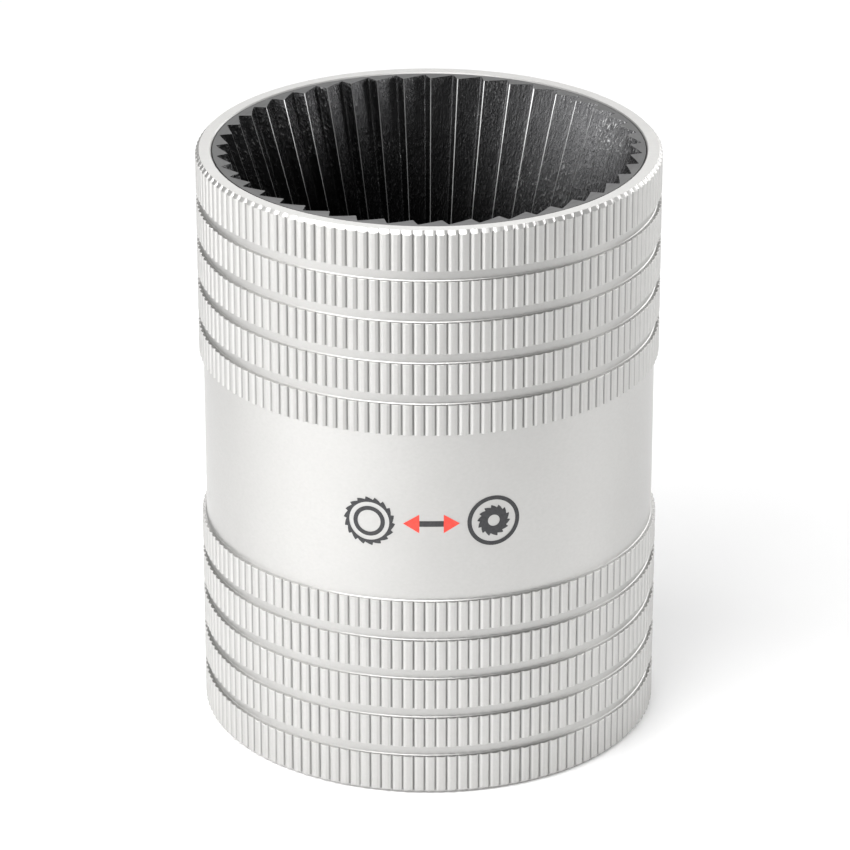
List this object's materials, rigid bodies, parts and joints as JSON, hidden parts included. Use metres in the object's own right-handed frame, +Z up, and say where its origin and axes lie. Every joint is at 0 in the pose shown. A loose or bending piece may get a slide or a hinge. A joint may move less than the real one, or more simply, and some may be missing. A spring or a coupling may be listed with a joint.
{
  "type": "pipe and tube deburring tool",
  "caption": "Two-ended hand deburrer: a knurled barrel with a toothed funnel for a tube's outside edge and a toothed cone for its inside edge.",
  "frame": {"origin": "centre of the barrel's bottom rim, where the tool stands", "axes": "+Z up along the barrel's axis, towards the funnel's mouth"},
  "size_m": [0.07, 0.07, 0.091],
  "materials": {
    "satin_aluminium": "fine turned, satin anodised clear",
    "blackened_cutter_steel": "hardened, black oxide, ground bare on the rim and tooth lands",
    "blackened_screw_steel": "black oxide",
    "bush_steel": "turned, bare",
    "spring_steel": "zinc plated",
    "ground_steel": "ground"
  },
  "bodies": {
    "root": {"housing": "satin_aluminium", "outer_cutter": "blackened_cutter_steel", "inner_cutter": "blackened_cutter_steel", "drive_bush": "bush_steel", "drive_pin": "ground_steel", "cutter_screw_1": "blackened_screw_steel", "cutter_screw_2": "blackened_screw_steel", "cutter_screw_3": "blackened_screw_steel", "cutter_screw_4": "blackened_screw_steel", "cutter_screw_5": "blackened_screw_steel", "cutter_screw_6": "blackened_screw_steel", "spring_washer_1": "spring_steel", "spring_washer_2": "spring_steel", "spring_washer_3": "spring_steel", "spring_washer_4": "spring_steel", "spring_washer_5": "spring_steel", "spring_washer_6": "spring_steel", "locating_pin_1": "ground_steel", "locating_pin_2": "ground_steel", "locating_pin_3": "ground_steel"}
  },
  "joints": []
}
